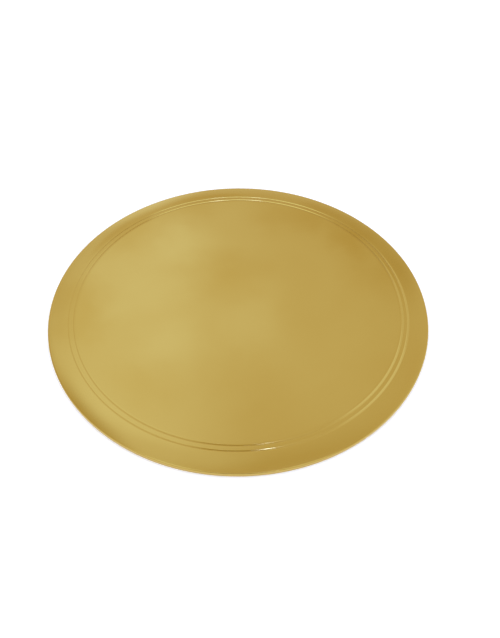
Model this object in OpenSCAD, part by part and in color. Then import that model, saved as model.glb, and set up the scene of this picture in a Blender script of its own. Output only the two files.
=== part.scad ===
// Paten: a shallow round plate for the altar bread, spun from one disc of heavy brass sheet.
// Sizes are in millimetres. The origin is under the middle of the plate, where its floor rests, and +Z is up.

/* [Plate] */
// Diameter over the edge
plate_d = 150; // [120:1:180]
// Thickness of the sheet
sheet_t = 1.8; // [1:0.1:2.4]
// Radius of the polished corners of the edge
edge_round = 0.3; // [0.1:0.1:0.7]

/* [Well] */
// Depth of the flat floor below the land between the lines
well_depth = 0.6; // [0.4:0.1:2]
// Width of the hollow side that sweeps up from the floor to the inner line
side_w = 45; // [20:1:48]

/* [Lines] */
// Distance between the middles of the two turned lines
line_gap = 2.1; // [1.2:0.1:4]
// Width of each line at the surface
line_w = 0.8; // [0.4:0.1:1]
// Depth of each line
line_depth = 0.2; // [0.1:0.02:0.4]

/* [Rim] */
// Width of the rim, from the middle of the outer line to the edge
rim_w = 7.9; // [5:0.1:14]
// How far the crowned rim falls from the land to the edge
rim_fall = 0.6; // [0.2:0.1:1]

/* [Hidden] */
$fa = 0.5;
$fs = 0.05;

gold = [0.74, 0.63, 0.32];

// How far a cutting shape runs past what it cuts
spare = 1;
// Step to which the corner arcs are set proud of the rim's faces, so that they cross them cleanly
micron = 0.001;

// Radii where one stretch of the sheet ends and the next begins
plate_r = plate_d / 2;
line_out_r = plate_r - rim_w;
line_in_r = line_out_r - line_gap;
floor_r = line_in_r - side_w;

// The side is one hollow bend that leaves the floor level, centred above it
side_top_r = (side_w * side_w + well_depth * well_depth) / (2 * well_depth);
side_under_r = side_top_r + sheet_t;

// The rim is one crowned bend that leaves the land level at the outer line, centred below it
rim_top_r = (rim_w * rim_w + rim_fall * rim_fall) / (2 * rim_fall);
rim_under_r = rim_top_r - sheet_t;

// The corners of the edge are arcs that run into the rim's faces and the upright edge
edge_r = min(edge_round, 0.4 * sheet_t);
corner_run = rim_w - edge_r;
top_corner_angle = acos(corner_run / (rim_top_r - edge_r));
under_corner_angle = acos(corner_run / (rim_under_r + edge_r));

// Heights of the underside: the plate stands on its floor, or on its rim if that is lower
rim_drop = (rim_under_r + edge_r) * (1 - sin(under_corner_angle));
floor_under_z = max(0, rim_drop - well_depth);
land_under_z = floor_under_z + well_depth;
land_top_z = land_under_z + sheet_t;
rim_centre = [line_out_r, land_under_z - rim_under_r];

function direction(angle) = [cos(angle), sin(angle)];

// A height moved out to the next whole micron, up when side is 1 and down when it is -1
function out_to_micron(z, side) = side * ceil(side * z / micron) * micron;

// Everything below one face of the sheet, out to out_r and down to low_z.
// The face is the underside when lift is 0, and the top when lift is the sheet's thickness.
module below_face(lift, out_r, low_z) {
    floor_z = floor_under_z + lift;
    land_z = land_under_z + lift;
    side_r = side_under_r - lift;
    rim_r = rim_under_r + lift;
    difference() {
        translate([0, low_z])
            square([out_r, land_z - low_z]);
        translate([-spare, floor_z])
            square([floor_r + spare, well_depth + spare]);
        translate([floor_r, floor_z])
            translate([0, side_r])
                circle(side_r);
        difference() {
            translate([line_out_r, low_z - spare])
                square([rim_w + 2 * spare, land_z - low_z + 2 * spare]);
            translate([line_out_r, land_z])
                translate([0, -rim_r])
                    circle(rim_r);
        }
    }
}

// What is taken off a corner of the edge: the corner outside an arc, from the rim's face to the upright edge.
// The arc is bend_r from the rim's centre, at the given angle, above the sheet when side is 1 and under it when -1.
module edge_corner(bend_r, angle, side) {
    centre = [plate_r - edge_r, out_to_micron(rim_centre.y + bend_r * sin(angle), side)];
    to_face = side * direction(angle);
    reach = 4 * edge_r;
    difference() {
        polygon([centre, centre + reach * to_face, centre + reach * [1, side], centre + reach * [1, 0]]);
        translate(centre)
            circle(edge_r);
    }
}

// What a pointed tool takes out of the land for one line, carried on above it
module line_cut() {
    top_half_w = line_w / 2 * (line_depth + spare) / line_depth;
    polygon([[0, -line_depth], [top_half_w, spare], [-top_half_w, spare]]);
}

// Cross-section of the sheet, from the middle of the plate out to the edge
module plate_section() {
    difference() {
        below_face(sheet_t, plate_r, -spare);
        below_face(0, plate_r + spare, -2 * spare);
        for (line_r = [line_in_r, line_out_r])
            translate([line_r, land_top_z])
                line_cut();
        edge_corner(rim_top_r - edge_r, top_corner_angle, 1);
        edge_corner(rim_under_r + edge_r, under_corner_angle, -1);
    }
}

// The whole plate: the section turned about its axis
module paten_plate() {
    color(gold)
        rotate_extrude()
            plate_section();
}

paten_plate();
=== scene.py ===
import math

import bmesh
import bpy
from mathutils import Matrix, Vector


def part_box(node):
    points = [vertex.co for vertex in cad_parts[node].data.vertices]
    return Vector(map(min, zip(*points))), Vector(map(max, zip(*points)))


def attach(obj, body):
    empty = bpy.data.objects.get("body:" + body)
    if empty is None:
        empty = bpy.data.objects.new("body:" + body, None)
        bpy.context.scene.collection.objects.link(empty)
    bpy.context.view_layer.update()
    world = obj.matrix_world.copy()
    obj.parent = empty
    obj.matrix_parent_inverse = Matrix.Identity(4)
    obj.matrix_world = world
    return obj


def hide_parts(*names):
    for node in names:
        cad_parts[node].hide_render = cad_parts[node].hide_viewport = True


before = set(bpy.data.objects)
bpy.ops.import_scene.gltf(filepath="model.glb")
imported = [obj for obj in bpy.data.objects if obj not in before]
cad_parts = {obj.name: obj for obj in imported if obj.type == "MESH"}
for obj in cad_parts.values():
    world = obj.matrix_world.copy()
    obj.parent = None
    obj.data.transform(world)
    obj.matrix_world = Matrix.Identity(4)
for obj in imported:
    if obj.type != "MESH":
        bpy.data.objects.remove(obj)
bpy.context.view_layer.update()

# The plate is one disc of heavy brass sheet, spun on a lathe to a wide shallow well with a crowned rim.
# Two fine lines are turned into the land round the well, and the edge is rounded and polished.
# It stands on the flat underside of its floor, and it is gold plated all over.
plate_low, plate_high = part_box("paten_plate")
plate_r = (plate_high.x - plate_low.x) / 2
land_z = plate_high.z
# Sizes of the section, in metres
sheet = 0.0018
edge_round = 0.0004
rim_w = 0.0079
rim_fall = 0.0006
line_gap = 0.0021
line_w = 0.0008
line_depth = 0.0002
line_corner = 0.00005
side_w = 0.045

# Depth of the floor below the land, and radii of the lines' middles and of the floor
well_depth = land_z - sheet
line_out_r = plate_r - rim_w
line_in_r = line_out_r - line_gap
floor_r = line_in_r - side_w


def run(section, tip, r, z, steps):
    """Carries the section straight on from its tip to a radius and a height."""
    start = tip.co.copy()
    end = Vector((r, 0, z))
    for step in range(1, steps + 1):
        made = bmesh.ops.extrude_vert_indiv(section, verts=[tip])
        tip = made["verts"][0]
        tip.co = start.lerp(end, step / steps)
    return tip


def bend(section, tip, centre, angle, steps):
    """Carries the section on round a centre, from up towards out where the angle is positive."""
    made = bmesh.ops.spin(section, geom=[tip], cent=centre, axis=(0, 1, 0), angle=angle, steps=steps)
    return next(part for part in made["geom_last"] if isinstance(part, bmesh.types.BMVert))


def turned_line(section, tip, r, z):
    """Carries the section on across a line, a pointed hollow that comes up again at a radius and a height.

    Gives the line's three corners, the last of which is the new tip.
    """
    bottom_r = (tip.co.x + r) / 2
    bottom_z = (tip.co.z + z) / 2 - line_depth
    bottom = run(section, tip, bottom_r, bottom_z, steps=3)
    return [tip, bottom, run(section, bottom, r, z, steps=3)]


# The side is a hollow bend that leaves the floor level, and the rim a crowned one that leaves the land level
side_r = (side_w * side_w + well_depth * well_depth) / (2 * well_depth)
side_centre = Vector((floor_r, 0, sheet + side_r))
rim_r = (rim_w * rim_w + rim_fall * rim_fall) / (2 * rim_fall)
rim_centre = Vector((line_out_r, 0, land_z - rim_r))

# Top face, from the axis out to the rounded edge
side_end = math.asin((side_w - line_w / 2) / side_r)
rim_start = math.asin(line_w / 2 / rim_r)
rim_start_z = rim_centre.z + rim_r * math.cos(rim_start)
rim_end = math.asin((rim_w - edge_round) / (rim_r - edge_round))
top_corner_z = rim_centre.z + (rim_r - edge_round) * math.cos(rim_end)
section = bmesh.new()
tip = section.verts.new((0, 0, sheet))
tip = run(section, tip, floor_r, sheet, steps=12)
tip = bend(section, tip, side_centre, -side_end, steps=64)
inner_line = turned_line(section, tip, line_in_r + line_w / 2, land_z)
tip = run(section, inner_line[-1], line_out_r - line_w / 2, land_z, steps=6)
outer_line = turned_line(section, tip, line_out_r + line_w / 2, rim_start_z)
tip = bend(section, outer_line[-1], rim_centre, rim_end - rim_start, steps=32)
tip = bend(section, tip, (plate_r - edge_round, 0, top_corner_z), math.pi / 2 - rim_end, steps=10)

# Upright edge and underside, back to the axis
rim_under_r = rim_r - sheet
rim_under_end = math.asin((rim_w - edge_round) / (rim_under_r + edge_round))
under_corner_z = rim_centre.z + (rim_under_r + edge_round) * math.cos(rim_under_end)
side_under_r = side_r + sheet
side_under_end = math.acos((side_under_r - well_depth) / side_under_r)
side_under_w = side_under_r * math.sin(side_under_end)
tip = run(section, tip, plate_r, under_corner_z, steps=3)
tip = bend(section, tip, (plate_r - edge_round, 0, under_corner_z), math.pi / 2 + rim_under_end, steps=8)
tip = bend(section, tip, rim_centre, -rim_under_end, steps=20)
tip = run(section, tip, floor_r + side_under_w, well_depth, steps=3)
tip = bend(section, tip, side_centre, side_under_end, steps=32)
run(section, tip, 0, 0, steps=6)

# The corners of the lines are softened by polishing, and the section is turned into the plate
bmesh.ops.bevel(
    section, geom=inner_line + outer_line, offset=line_corner, segments=3, profile=0.5,
    affect="VERTICES", material=-1,
)
bmesh.ops.spin(
    section, geom=section.verts[:] + section.edges[:], cent=(0, 0, 0), axis=(0, 0, 1),
    angle=2 * math.pi, steps=288, use_merge=True,
)
bmesh.ops.remove_doubles(section, verts=section.verts, dist=1e-6)

# The sheet sprang a little under the tool on the near left, so the lines are finer there.
# The side it sprang on is given as the angle from straight back, round to the right.
spring_side = math.radians(-107)
finer_by = 0.78
spring = Vector((math.sin(spring_side), math.cos(spring_side)))
line_reach = line_w / 2 + 2 * line_corner
for vert in section.verts:
    r = vert.co.xy.length
    on_top = vert.co.z > land_z - sheet / 2
    for line_r in (line_in_r, line_out_r):
        if on_top and abs(r - line_r) < line_reach:
            share = 1 - finer_by * max(0, vert.co.xy.dot(spring) / r) ** 2
            vert.co.xy *= (line_r + (r - line_r) * share) / r
            vert.co.z = land_z - (land_z - vert.co.z) * share
bmesh.ops.recalc_face_normals(section, faces=section.faces)
for face in section.faces:
    face.smooth = True
plate_mesh = bpy.data.meshes.new("gilt_plate")
section.to_mesh(plate_mesh)
section.free()
plate = bpy.data.objects.new("gilt_plate", plate_mesh)
bpy.context.scene.collection.objects.link(plate)


def add(tree, kind, sockets=(), **settings):
    """Adds a node to a tree, with its settings and the plain values of its sockets."""
    made = tree.nodes.new(kind)
    for name, value in settings.items():
        setattr(made, name, value)
    for name, value in dict(sockets).items():
        made.inputs[name].default_value = value
    return made


# The plating is gold over polished brass, with soft lighter and darker patches painted into its colour as
# reflections of the room.
# The polishing lathe left faint rings in it, and the block that it was spun on a slight hollow in the middle.
# The edge is paler, partly where it has been rubbed and partly as a painted highlight for the white floor
# that it reflects.
gold = (0.534, 0.353, 0.075)
# How much each colour of the gold rises for a tone of one
paler_by = (0.53, 0.63, 0.29)
cloud_size = 0.05
cloud_tone = 0.04
# Levels of the noise that the clouds' tones are spread between
cloud_from, cloud_to = 0.25, 0.75
# How far, and over what size, the outlines of the painted reflections wander
reflection_wander = 0.012
# Each painted reflection: its place across and back from the axis, its reach, and its tone, below nought
# where it is darker
painted_reflections = [
    (-0.003, 0.017, 0.024, -0.05),
    (0.007, -0.012, 0.018, 0.03),
    (-0.036, 0.008, 0.030, 0.02),
    (-0.026, 0.038, 0.024, 0.07),
    (-0.034, -0.042, 0.020, -0.04),
    (-0.064, 0.004, 0.018, -0.06),
    (-0.047, 0.044, 0.024, -0.06),
    (-0.022, 0.063, 0.020, -0.03),
    (0.050, 0.036, 0.016, -0.09),
    (0.018, 0.055, 0.020, -0.04),
    (0.036, 0.052, 0.018, -0.06),
    (0.060, 0.016, 0.022, -0.045),
    (-0.060, -0.012, 0.016, -0.05),
    (-0.026, -0.022, 0.020, 0.04),
    (0.004, -0.040, 0.024, -0.03),
]
# Width and tone of the paler edge: rubbed wear with a painted highlight
worn_and_highlight_w = 0.7 * edge_round
worn_and_highlight_tone = 0.07
smear_size = 0.02
# Levels of the noise at which the polish is finest and dullest, and its roughness there
smear_from, smear_to = 0.3, 0.7
finest_polish, dullest_polish = 0.11, 0.15
hollow_r = 0.024
hollow_depth = 0.0001
wave_size = 0.03
wave_height = 0.00002
ring_size = 0.0006
ring_height = 0.0000003

gilt = bpy.data.materials.new("gilt_brass")
gilt.use_nodes = True
tree = gilt.node_tree
link = tree.links.new
shader = tree.nodes["Principled BSDF"]
shader.inputs["Metallic"].default_value = 1
place = add(tree, "ShaderNodeTexCoord").outputs["Object"]

# Place on the plate seen from above, and distance from its axis
flatten = add(tree, "ShaderNodeVectorMath", {1: (1, 1, 0)}, operation="MULTIPLY")
link(place, flatten.inputs[0])
level_place = flatten.outputs["Vector"]
measure = add(tree, "ShaderNodeVectorMath", operation="LENGTH")
link(level_place, measure.inputs[0])
from_axis = measure.outputs["Value"]

# Tone of the plating, above nought where it is paler: clouds, painted reflections, and the edge, rubbed paler
# and with a painted highlight
clouds = add(tree, "ShaderNodeTexNoise", {"Scale": 1 / cloud_size, "Detail": 2, "Distortion": 0.8})
link(place, clouds.inputs["Vector"])
cloudy = add(
    tree, "ShaderNodeMapRange",
    {"From Min": cloud_from, "From Max": cloud_to, "To Min": -cloud_tone / 2, "To Max": cloud_tone / 2},
)
link(clouds.outputs["Fac"], cloudy.inputs["Value"])
wander = add(tree, "ShaderNodeTexNoise", {"Scale": 1 / reflection_wander, "Detail": 2})
link(level_place, wander.inputs["Vector"])
uneven_place = add(
    tree, "ShaderNodeVectorMath", {1: (reflection_wander, reflection_wander, 0)}, operation="MULTIPLY_ADD",
)
link(wander.outputs["Color"], uneven_place.inputs[0])
link(level_place, uneven_place.inputs[2])
marks = []
# Painted reflections: lighter and darker patches added to the plating's tone
for x, y, reach, reflection_tone in painted_reflections:
    reflection_middle = (x + reflection_wander / 2, y + reflection_wander / 2, 0)
    away = add(tree, "ShaderNodeVectorMath", {1: reflection_middle}, operation="DISTANCE")
    link(uneven_place.outputs["Vector"], away.inputs[0])
    reflection_patch = add(
        tree, "ShaderNodeMapRange", {"From Min": 0, "From Max": reach, "To Min": reflection_tone, "To Max": 0},
        interpolation_type="SMOOTHSTEP",
    )
    link(away.outputs["Value"], reflection_patch.inputs["Value"])
    marks.append(reflection_patch)
# Paler edge: rubbed wear with a painted highlight
worn_and_highlight = add(
    tree, "ShaderNodeMapRange",
    {"From Min": plate_r - worn_and_highlight_w, "From Max": plate_r, "To Min": 0, "To Max": worn_and_highlight_tone},
    interpolation_type="SMOOTHSTEP",
)
link(from_axis, worn_and_highlight.inputs["Value"])
marks.append(worn_and_highlight)
tone = cloudy.outputs["Result"]
for mark in marks:
    total = add(tree, "ShaderNodeMath", operation="ADD")
    link(tone, total.inputs[0])
    link(mark.outputs["Result"], total.inputs[1])
    tone = total.outputs["Value"]
plating = add(tree, "ShaderNodeVectorMath", {1: paler_by, 2: gold}, operation="MULTIPLY_ADD")
link(tone, plating.inputs[0])
link(plating.outputs["Vector"], shader.inputs["Base Color"])

# Wiping marks in the polish
smears = add(tree, "ShaderNodeTexNoise", {"Scale": 1 / smear_size, "Detail": 5, "Distortion": 0.6})
link(place, smears.inputs["Vector"])
polish = add(
    tree, "ShaderNodeMapRange",
    {"From Min": smear_from, "From Max": smear_to, "To Min": finest_polish, "To Max": dullest_polish},
)
link(smears.outputs["Fac"], polish.inputs["Value"])
link(polish.outputs["Result"], shader.inputs["Roughness"])

# Hollow in the middle, waves of the sheet and rings of the lathe
hollow = add(
    tree, "ShaderNodeMapRange", {"From Min": 0, "From Max": hollow_r, "To Min": 0, "To Max": 1},
    interpolation_type="SMOOTHSTEP",
)
link(from_axis, hollow.inputs["Value"])
waves = add(tree, "ShaderNodeTexNoise", {"Scale": 1 / wave_size, "Detail": 1})
link(place, waves.inputs["Vector"])
rings = add(tree, "ShaderNodeTexNoise", {"Scale": 1 / ring_size, "Detail": 4}, noise_dimensions="1D")
link(from_axis, rings.inputs["W"])
lie = shader.inputs["Normal"]
for shape, rise in (
    (rings.outputs["Fac"], ring_height),
    (waves.outputs["Fac"], wave_height),
    (hollow.outputs["Result"], hollow_depth),
):
    bump = add(tree, "ShaderNodeBump", {"Distance": rise})
    link(shape, bump.inputs["Height"])
    link(bump.outputs["Normal"], lie)
    lie = bump.inputs["Normal"]
plate_mesh.materials.append(gilt)

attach(plate, "root")
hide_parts("paten_plate")

# The floor is a wide sheet of matt white paper that the plate stands on.
# Where it is seen, directly or in the metal, it is lifted to white, and it keeps the plate's shadow.
floor_size = 8
paper_white = (0.9, 0.9, 0.9, 1)
lift_colour = (1, 1, 1, 1)
lift = 0.32

floor_mesh = bpy.data.meshes.new("paper_floor")
paper = bmesh.new()
bmesh.ops.create_grid(paper, x_segments=1, y_segments=1, size=floor_size / 2)
paper.to_mesh(floor_mesh)
paper.free()
floor = bpy.data.objects.new("paper_floor", floor_mesh)
bpy.context.scene.collection.objects.link(floor)

white_paper = bpy.data.materials.new("white_paper")
white_paper.use_nodes = True
tree = white_paper.node_tree
link = tree.links.new
tree.nodes.clear()
light_path = add(tree, "ShaderNodeLightPath")
seen = add(tree, "ShaderNodeMath", operation="MAXIMUM")
link(light_path.outputs["Is Camera Ray"], seen.inputs[0])
link(light_path.outputs["Is Glossy Ray"], seen.inputs[1])
seen_at_all = add(tree, "ShaderNodeMath", operation="MAXIMUM")
link(seen.outputs["Value"], seen_at_all.inputs[0])
link(light_path.outputs["Is Transmission Ray"], seen_at_all.inputs[1])
lifted = add(tree, "ShaderNodeMath", {1: lift}, operation="MULTIPLY")
link(seen_at_all.outputs["Value"], lifted.inputs[0])
glow = add(tree, "ShaderNodeEmission", {"Color": lift_colour})
link(lifted.outputs["Value"], glow.inputs["Strength"])
matt = add(tree, "ShaderNodeBsdfDiffuse", {"Color": paper_white})
matt_and_glow = add(tree, "ShaderNodeAddShader")
link(matt.outputs["BSDF"], matt_and_glow.inputs[0])
link(glow.outputs["Emission"], matt_and_glow.inputs[1])
paper_output = add(tree, "ShaderNodeOutputMaterial")
link(matt_and_glow.outputs["Shader"], paper_output.inputs["Surface"])
floor_mesh.materials.append(white_paper)

# The room is a plain white tent, brightest where it meets the floor.
# Daylight comes softly through a window behind the plate on the left, and it is cooler than the tent.
# Whoever holds the camera shades what is behind it, and small lamps on the ceiling glint in the turned lines.
tent_white = (0.9, 0.9, 0.9)
horizon = (0.17, 0.24, 0.28)
# Heights between which the light of the horizon fades, where straight up is one
horizon_full, horizon_end = 0.1, 0.55
darkest = (0.05, 0.05, 0.05)
daylight = Vector((1, 1.75, 3.9))
shade = Vector((-1, -1.35, -2.5))
shadow = Vector((-1, -1, -1))
lamplight = Vector((1, 1.6, 6))
# Each patch, in degrees: azimuth, elevation, how far out it stays full and where it ends, and then its light
patches = [
    ("window", -22, 44, 0, 22, 0.22 * daylight),
    ("upper window", -25, 65, 0, 15, 0.14 * daylight),
    ("curtain", 9, 49, 0, 9, 0.07 * daylight),
    ("right wall", 27, 59, 0, 12, 0.03 * daylight),
    ("window frame on the left", -27, 38, 0, 13, -0.13 * daylight),
    ("window sill on the left", -15, 37, 1, 6, -0.12 * daylight),
    ("window sill in the middle", -5, 36, 1, 7, -0.14 * daylight),
    ("shade on the right", 20, 35, 0, 12, 0.1 * shade),
    ("dull ceiling", 40, 78, 0, 26, 0.07 * shade),
    ("dark door on the left", -57, 57, 4, 13, 0.16 * shade),
    ("foot of the door", -53, 38, 3, 13, 0.17 * shade),
    ("dark chest on the left", -78, 18, 6, 20, 0.25 * shade),
    ("pale wall on the left", -100, 50, 5, 20, 0.08 * daylight),
    ("pale wall on the right", 80, 38, 5, 30, 0.25 * daylight),
    ("low window light", -14, 22, 0, 10, 0.2 * daylight),
    ("ceiling", 180, 88, 1, 7, 0.6 * daylight),
    ("ceiling on the left", -82, 76, 4, 11, 0.58 * daylight),
    ("ceiling on the right", 82, 76, 4, 11, 0.52 * daylight),
    ("left ceiling lamp", -107, 85, 0.5, 2, 2.5 * lamplight),
    ("right ceiling lamp", 107, 85, 0.5, 2, 2.5 * lamplight),
    ("lamp behind the camera", 157, 64, 1, 2, 6 * lamplight),
    ("head behind the camera", -172, 65, 9, 14, 0.25 * shade),
    ("body behind the camera", 180, 49, 6, 20, 0.5 * shadow),
]


def toward(azimuth, elevation):
    """Direction from the plate, with the azimuth in degrees to the right of straight back."""
    azimuth, elevation = math.radians(azimuth), math.radians(elevation)
    level = math.cos(elevation)
    return Vector((math.sin(azimuth) * level, math.cos(azimuth) * level, math.sin(elevation)))


world = bpy.data.worlds.new("white_tent")
bpy.context.scene.world = world
world.use_nodes = True
tree = world.node_tree
link = tree.links.new
direction = add(tree, "ShaderNodeTexCoord").outputs["Generated"]
height = add(tree, "ShaderNodeSeparateXYZ")
link(direction, height.inputs["Vector"])
low = add(
    tree, "ShaderNodeMapRange", {"From Min": horizon_full, "From Max": horizon_end, "To Min": 1, "To Max": 0},
    interpolation_type="SMOOTHSTEP",
)
link(height.outputs["Z"], low.inputs["Value"])
light = add(tree, "ShaderNodeVectorMath", {1: horizon, 2: tent_white}, operation="MULTIPLY_ADD")
link(low.outputs["Result"], light.inputs[0])
for name, azimuth, elevation, full, end, colour in patches:
    facing = add(
        tree, "ShaderNodeVectorMath", {1: toward(azimuth, elevation)}, operation="DOT_PRODUCT", label=name,
    )
    link(direction, facing.inputs[0])
    fade = add(
        tree, "ShaderNodeMapRange",
        {"From Min": math.cos(math.radians(end)), "From Max": math.cos(math.radians(full))},
        interpolation_type="SMOOTHSTEP",
    )
    link(facing.outputs["Value"], fade.inputs["Value"])
    more = add(tree, "ShaderNodeVectorMath", {1: colour}, operation="MULTIPLY_ADD")
    link(fade.outputs["Result"], more.inputs[0])
    link(light.outputs["Vector"], more.inputs[2])
    light = more
no_darker = add(tree, "ShaderNodeVectorMath", {1: darkest}, operation="MAXIMUM")
link(light.outputs["Vector"], no_darker.inputs[0])
link(no_darker.outputs["Vector"], tree.nodes["Background"].inputs["Color"])

# The camera stands in front of the plate, looking down at it, and is held very slightly out of level.
# Its picture is shifted a little, so that the plate lies left of the middle and below it.
camera_distance = 0.25
camera_elevation = math.radians(47.67)
camera_roll = math.radians(-0.53)
camera_data = bpy.data.cameras.new("camera")
camera_data.lens = 34.9
camera_data.shift_x = 0.019
camera_data.shift_y = -0.0217
camera = bpy.data.objects.new("camera", camera_data)
bpy.context.scene.collection.objects.link(camera)
back = Vector((0, -math.cos(camera_elevation), math.sin(camera_elevation)))
camera.matrix_world = (
    Matrix.Translation(back * camera_distance)
    @ Matrix.Rotation(math.pi / 2 - camera_elevation, 4, "X")
    @ Matrix.Rotation(camera_roll, 4, "Z")
)
bpy.context.scene.camera = camera
bpy.context.scene.view_settings.view_transform = "Standard"
